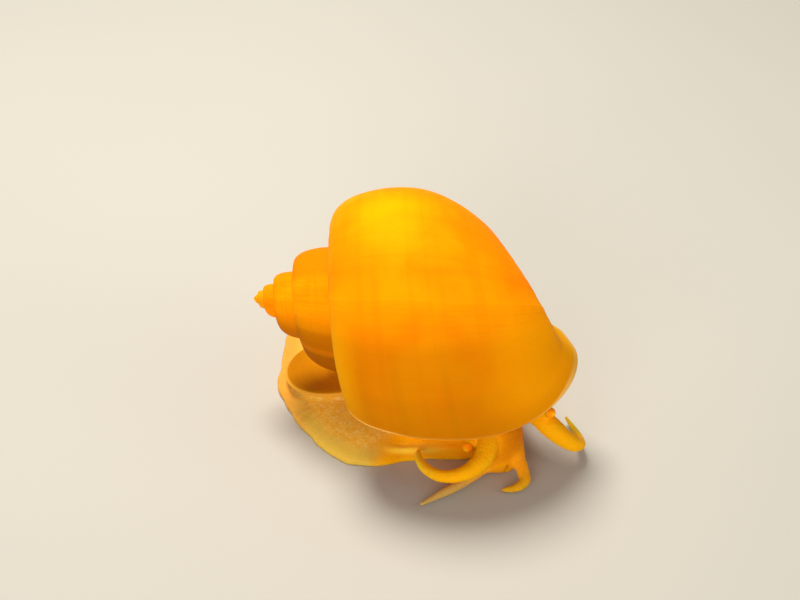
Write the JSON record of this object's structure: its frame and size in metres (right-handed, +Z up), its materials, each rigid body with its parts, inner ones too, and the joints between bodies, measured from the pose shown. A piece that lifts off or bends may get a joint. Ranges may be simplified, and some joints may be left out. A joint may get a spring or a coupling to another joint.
{
  "type": "apple snail",
  "caption": "Life-size still model of a crawling golden apple snail: globose right-handed shell, broad foot with operculum, snout, curled tentacles, lip palps and eyes.",
  "frame": {"origin": "on the flat sole, in the plane that the snail rests on, below the middle of the body whorl", "axes": "+Z up out of the sole; +X the way the shell's base points and the snail crawls; -Y the snail's right side, where the outer lip is"},
  "size_m": [0.0465, 0.0408, 0.0351],
  "materials": {
    "shell_gold": "smooth golden-orange shell with fine growth lines and a pale lip",
    "operculum_amber": "horny amber-brown plate with concentric rings",
    "foot_cream": "moist cream skin with fine speckles",
    "head_orange": "moist orange skin",
    "feeler_yellow": "moist golden-yellow skin",
    "eye_red": "wet reddish-orange eye"
  },
  "bodies": {
    "root": {"shell": "shell_gold", "operculum": "operculum_amber", "mantle": "head_orange", "neck": "head_orange", "head": "head_orange", "siphon": "head_orange", "foot_front": "foot_cream", "foot_tail": "foot_cream", "tentacle_right_1": "feeler_yellow", "tentacle_right_2": "feeler_yellow", "tentacle_right_3": "feeler_yellow", "tentacle_left_1": "feeler_yellow", "tentacle_left_2": "feeler_yellow", "tentacle_left_3": "feeler_yellow", "palp_right": "feeler_yellow", "palp_left": "feeler_yellow", "eye_stalk_right": "feeler_yellow", "eye_stalk_left": "feeler_yellow", "eye_right": "eye_red", "eye_left": "eye_red"}
  },
  "joints": []
}
